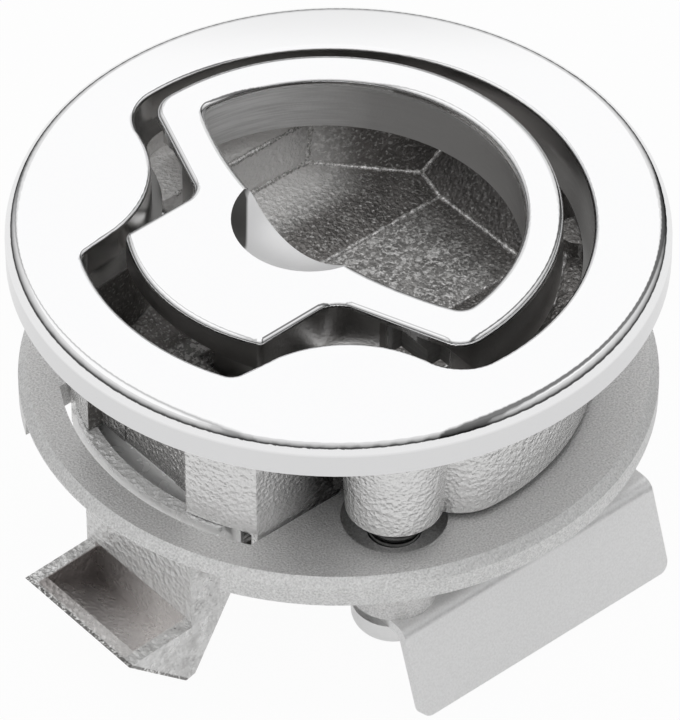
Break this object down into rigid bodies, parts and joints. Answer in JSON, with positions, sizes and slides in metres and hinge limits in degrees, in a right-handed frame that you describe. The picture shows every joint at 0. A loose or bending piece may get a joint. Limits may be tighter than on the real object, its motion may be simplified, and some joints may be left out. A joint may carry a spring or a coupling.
{
  "type": "flush lift handle slam latch",
  "caption": "Round flush slam latch for a boat locker, with a finger loop handle, a spring bolt, a clamped backing ring and a folded strike.",
  "frame": {"origin": "on the latch's axis, in the plane of the flange's underside where it seats on the panel", "axes": "+Z out of the panel, +X towards the handle's finger loop, the slam bolt points towards -X"},
  "size_m": [0.0648, 0.0634, 0.0418],
  "materials": {
    "polished_cast": "mirror polished face on a cast stainless body",
    "polished_handle": "mirror polished cast stainless",
    "cast_bolt": "tumbled casting with rough edges",
    "cast_ring": "matte sand casting",
    "satin_sheet": "satin folded sheet",
    "bright_steel": "bright turned steel",
    "spring_wire": "drawn spring wire"
  },
  "bodies": {
    "housing": {"latch_body": "polished_cast", "handle_pivot_pin": "bright_steel", "handle_spring_left": "spring_wire", "handle_spring_right": "spring_wire", "bolt_spring_left": "spring_wire", "bolt_spring_right": "spring_wire", "guide_rod_left": "bright_steel", "guide_rod_right": "bright_steel", "backing_ring": "cast_ring", "clamp_screw_front": "bright_steel", "clamp_screw_rear": "bright_steel", "rear_washer": "bright_steel", "strike_bracket": "satin_sheet"},
    "handle": {"lift_handle": "polished_handle"},
    "bolt": {"slam_bolt": "cast_bolt"}
  },
  "joints": [
    {"name": "handle_lift", "type": "hinge", "parent": "housing", "child": "handle", "pos_m": [-0.0095, 0, -0.0015], "axis": [0, -1, 0], "range_deg": [0, 28], "stiffness_Nm_per_rad": 0.15, "springref_deg": -40.11, "deforming": ["handle_spring_left", "handle_spring_right"]},
    {"name": "bolt_slide", "type": "slide", "parent": "housing", "child": "bolt", "axis": [1, 0, 0], "range_m": [0, 0.00705], "deforming": ["bolt_spring_left", "bolt_spring_right"]}
  ],
  "couplings": [
    {"joint": "bolt_slide", "follows": "handle_lift", "m_per_rad": 0.014356}
  ]
}
